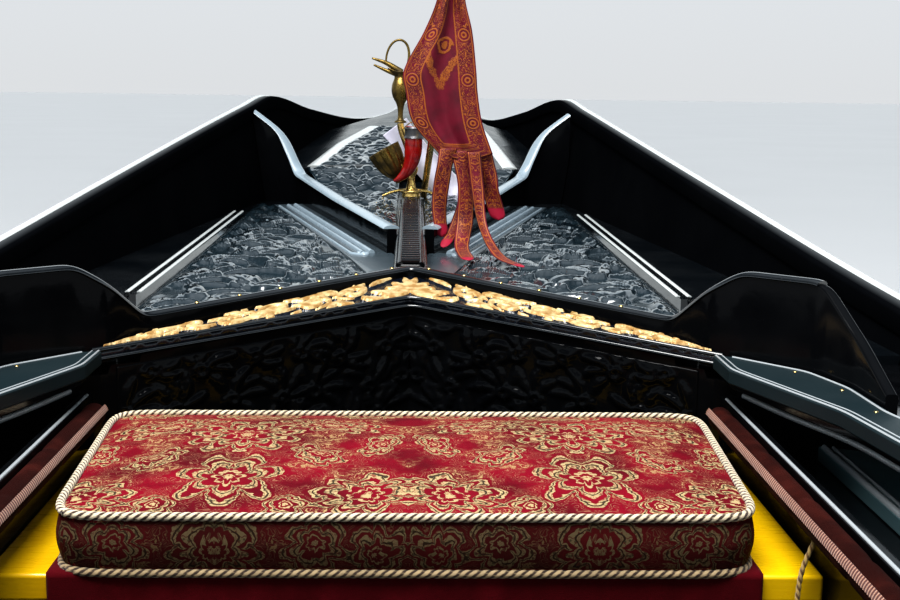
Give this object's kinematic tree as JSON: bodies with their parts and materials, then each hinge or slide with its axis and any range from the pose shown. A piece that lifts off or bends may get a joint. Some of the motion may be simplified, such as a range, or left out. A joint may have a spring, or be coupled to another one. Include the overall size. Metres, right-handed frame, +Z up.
{
  "type": "gondola rowing boat",
  "caption": "Black lacquered flat-bottomed rowing boat with carved decks, gilded band, damask seats, brass ornaments, a folded crimson flag, an oar in its oarlock and a deck hatch",
  "frame": {"origin": "on the flat bottom, amidships, on the middle of the keel line", "axes": "+Y to the bow, +X to starboard, +Z up; the waterline lies about 0.17 m above the origin"},
  "size_m": [2.3206, 10.6658, 1.585],
  "materials": {
    "black_lacquer": "gloss black lacquer on wood",
    "tarred_bottom": "dull black tarred planking",
    "polished_steel": "polished iron",
    "brass": "aged polished brass",
    "gilding": "gilded carving",
    "yellow_paint": "gloss yellow paint",
    "damask": "crimson damask with cream and grey-green motifs",
    "dark_red_drape": "matt dark red cloth",
    "velvet": "brown-red velvet with a ribbed cream braid",
    "crimson_cloth": "crimson cloth with woven gold borders",
    "white_cloth": "matt white cloth with few violet dots",
    "oiled_walnut": "oiled walnut",
    "red_horn": "gloss red",
    "gold_cord": "twisted golden cord"
  },
  "bodies": {
    "hull": {"bottom_planking": "tarred_bottom", "side_planking_starboard": "black_lacquer", "gunwale_starboard": "black_lacquer", "side_planking_port": "black_lacquer", "gunwale_port": "black_lacquer", "stem": "black_lacquer", "sternpost": "black_lacquer", "bow_iron": "polished_steel", "stern_iron": "polished_steel", "frames": "tarred_bottom", "floorboards": "black_lacquer", "fore_deck": "black_lacquer", "apex_deck": "black_lacquer", "deck_spine": "black_lacquer", "near_coaming": "black_lacquer", "gilded_band": "gilding", "carved_bulkhead": "black_lacquer", "carved_deck_starboard": "black_lacquer", "far_coaming_starboard": "black_lacquer", "side_deck_starboard": "black_lacquer", "cockpit_cap_starboard": "black_lacquer", "side_shelf_starboard": "black_lacquer", "side_board_starboard": "black_lacquer", "padded_roll_starboard": "velvet", "seahorse_starboard": "brass", "carved_deck_port": "black_lacquer", "far_coaming_port": "black_lacquer", "side_deck_port": "black_lacquer", "cockpit_cap_port": "black_lacquer", "side_shelf_port": "black_lacquer", "side_board_port": "black_lacquer", "padded_roll_port": "velvet", "seahorse_port": "brass", "bow_bench": "yellow_paint", "bow_cushion": "damask", "bench_drape": "dark_red_drape", "main_seat": "black_lacquer", "seat_cushion": "damask", "seat_back": "black_lacquer", "back_cushion": "damask", "stern_bulkhead": "black_lacquer", "aft_deck": "black_lacquer", "footboard": "oiled_walnut", "oarlock_block": "black_lacquer", "oarlock": "oiled_walnut", "ornament_holder": "brass", "ewer": "brass", "fluted_cup": "brass", "horn_charm": "red_horn", "flagpole": "brass", "flag": "crimson_cloth", "pennant": "white_cloth", "roll_tie": "gold_cord"},
    "oar": {"oar": "oiled_walnut"},
    "stern_hatch": {"stern_hatch": "black_lacquer"}
  },
  "joints": [
    {"name": "oar_swing", "type": "hinge", "parent": "hull", "child": "oar", "pos_m": [0.52, -2.42, 1.12], "axis": [0, 0, 1], "range_deg": [-10, 55]},
    {"name": "hatch_hinge", "type": "hinge", "parent": "hull", "child": "stern_hatch", "pos_m": [0, -2.17, 0.755], "axis": [-1, 0, 0], "range_deg": [0, 100]}
  ]
}
